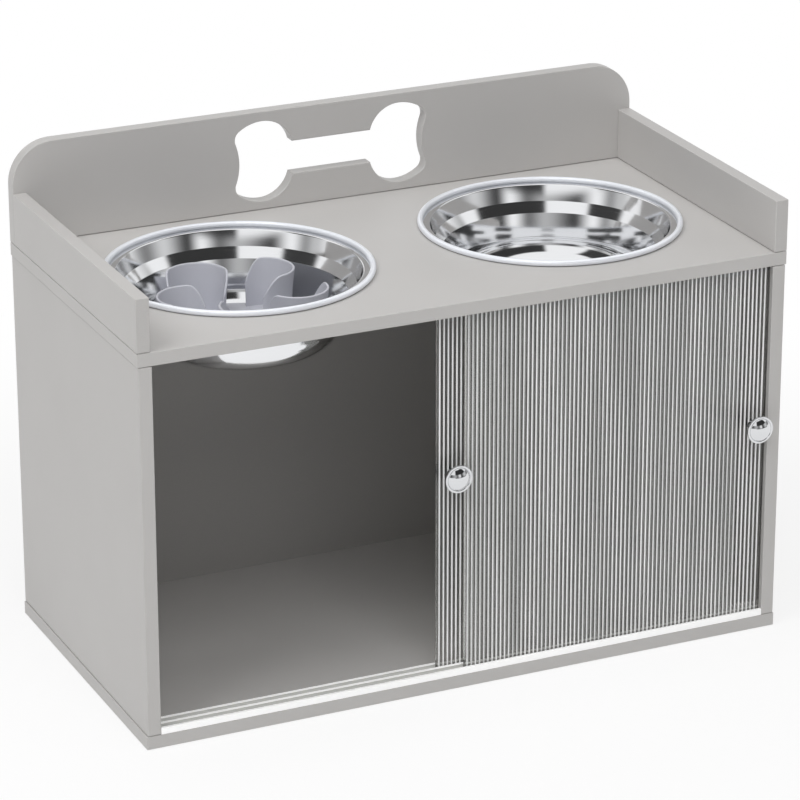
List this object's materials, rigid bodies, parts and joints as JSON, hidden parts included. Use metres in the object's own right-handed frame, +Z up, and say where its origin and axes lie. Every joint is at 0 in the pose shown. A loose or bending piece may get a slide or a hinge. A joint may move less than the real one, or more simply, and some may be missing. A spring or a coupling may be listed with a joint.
{
  "type": "elevated dog feeder with storage",
  "caption": "Cabinet feeding station with sliding fluted doors, a walled top with a bone cut-out, and lift-out steel bowls, one with a slow feeder insert.",
  "frame": {"origin": "centre of the underside of the bottom panel, where the cabinet stands on the floor", "axes": "+X to the right along the front, +Y from the front with the doors to the rear, +Z up"},
  "size_m": [0.6, 0.3208, 0.445],
  "materials": {
    "painted_board": "satin light grey melamine film on fibreboard",
    "hardboard": "matt light grey coated hardboard",
    "track_plastic": "semi-gloss white extruded plastic",
    "door_acrylic": "clear polished, fluted on its front face",
    "knob_chrome": "polished chrome plate",
    "bowl_steel": "mirror polished stainless sheet, brushed inside",
    "insert_plastic": "satin moulded grey plastic",
    "cup_silicone": "clear soft silicone",
    "fastener_zinc": "bright die-cast zinc",
    "fastener_steel": "bright zinc-plated steel",
    "dowel_wood": "raw beech"
  },
  "bodies": {
    "carcass": {"bottom_panel": "painted_board", "left_side_panel": "painted_board", "right_side_panel": "painted_board", "top_panel": "painted_board", "back_panel": "hardboard", "backsplash": "painted_board", "left_guard": "painted_board", "right_guard": "painted_board", "lower_track": "track_plastic", "cam_locks": "fastener_zinc", "cam_bolts": "fastener_steel", "panel_dowels": "dowel_wood", "base_screws": "fastener_steel", "guard_screws": "fastener_steel", "backsplash_screws": "fastener_steel"},
    "rear_door": {"rear_door": "door_acrylic", "rear_door_knob": "knob_chrome", "rear_door_screw": "fastener_steel"},
    "front_door": {"front_door": "door_acrylic", "front_door_knob": "knob_chrome", "front_door_screw": "fastener_steel"},
    "left_bowl": {"left_bowl": "bowl_steel"},
    "right_bowl": {"right_bowl": "bowl_steel"},
    "insert": {"slow_feeder_insert": "insert_plastic", "suction_cup": "cup_silicone"}
  },
  "joints": [
    {"name": "rear_door_slide", "type": "slide", "parent": "carcass", "child": "rear_door", "axis": [1, 0, 0], "range_m": [-0.2606, 0]},
    {"name": "front_door_slide", "type": "slide", "parent": "carcass", "child": "front_door", "axis": [1, 0, 0], "range_m": [-0.004, 0]},
    {"name": "left_bowl_lift", "type": "slide", "parent": "carcass", "child": "left_bowl", "axis": [0, 0, 1], "range_m": [0, 0.12]},
    {"name": "right_bowl_lift", "type": "slide", "parent": "carcass", "child": "right_bowl", "axis": [0, 0, 1], "range_m": [0, 0.12]},
    {"name": "insert_lift", "type": "slide", "parent": "left_bowl", "child": "insert", "axis": [0, 0, 1], "range_m": [0, 0.1]}
  ]
}
